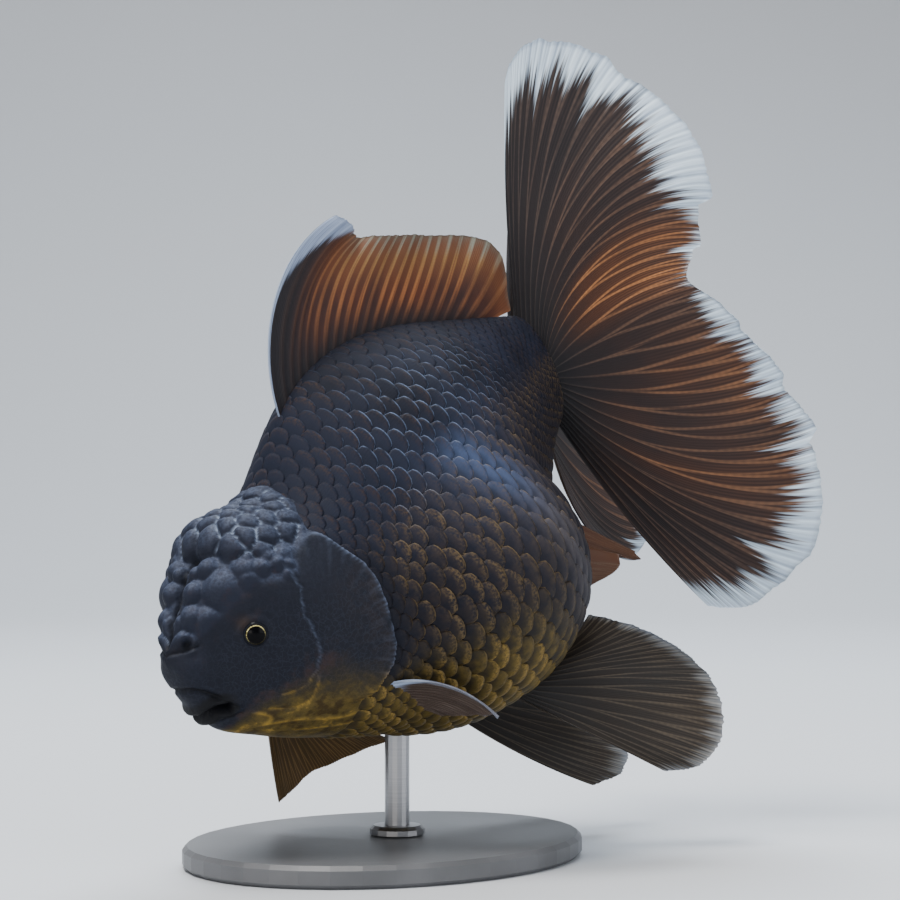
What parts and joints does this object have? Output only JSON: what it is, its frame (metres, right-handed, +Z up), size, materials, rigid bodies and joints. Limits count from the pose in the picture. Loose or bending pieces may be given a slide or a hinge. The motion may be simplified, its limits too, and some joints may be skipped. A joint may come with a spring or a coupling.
{
  "type": "fancy goldfish on a display stand",
  "caption": "Still, life-size black oranda goldfish with a warty hood, a round belly and a broad double tail, held nose-down on a plain oval stand by a short rod.",
  "frame": {"origin": "middle of the stand base's flat underside", "axes": "+Z up, the fish heading along -X with its left flank towards -Y"},
  "size_m": [0.1432, 0.0733, 0.1542],
  "materials": {
    "skin_dark": "wet, blue-black",
    "wen": "soft, slate grey",
    "eye": "clear and glossy over a black pupil",
    "fin": "thin, dark brown",
    "stand_plate": "satin dark grey",
    "stand_rod": "satin"
  },
  "bodies": {
    "root": {"head": "skin_dark", "trunk": "skin_dark", "tail_stem": "skin_dark", "wen_crown": "wen", "wen_brow_left": "wen", "wen_brow_right": "wen", "cheek_left": "skin_dark", "cheek_right": "skin_dark", "gill_cover_left": "skin_dark", "gill_cover_right": "skin_dark", "eye_left": "eye", "eye_right": "eye", "nostril_left": "wen", "nostril_right": "wen", "upper_lip": "skin_dark", "lower_lip": "skin_dark", "dorsal_fin": "fin", "pectoral_fin_left": "fin", "pectoral_fin_right": "fin", "pelvic_fin_left": "fin", "pelvic_fin_right": "fin", "anal_fin_left": "fin", "anal_fin_right": "fin", "tail_left_upper": "fin", "tail_left_lower": "fin", "tail_right_upper": "fin", "tail_right_lower": "fin", "stand_base": "stand_plate", "stand_rod": "stand_rod"}
  },
  "joints": []
}
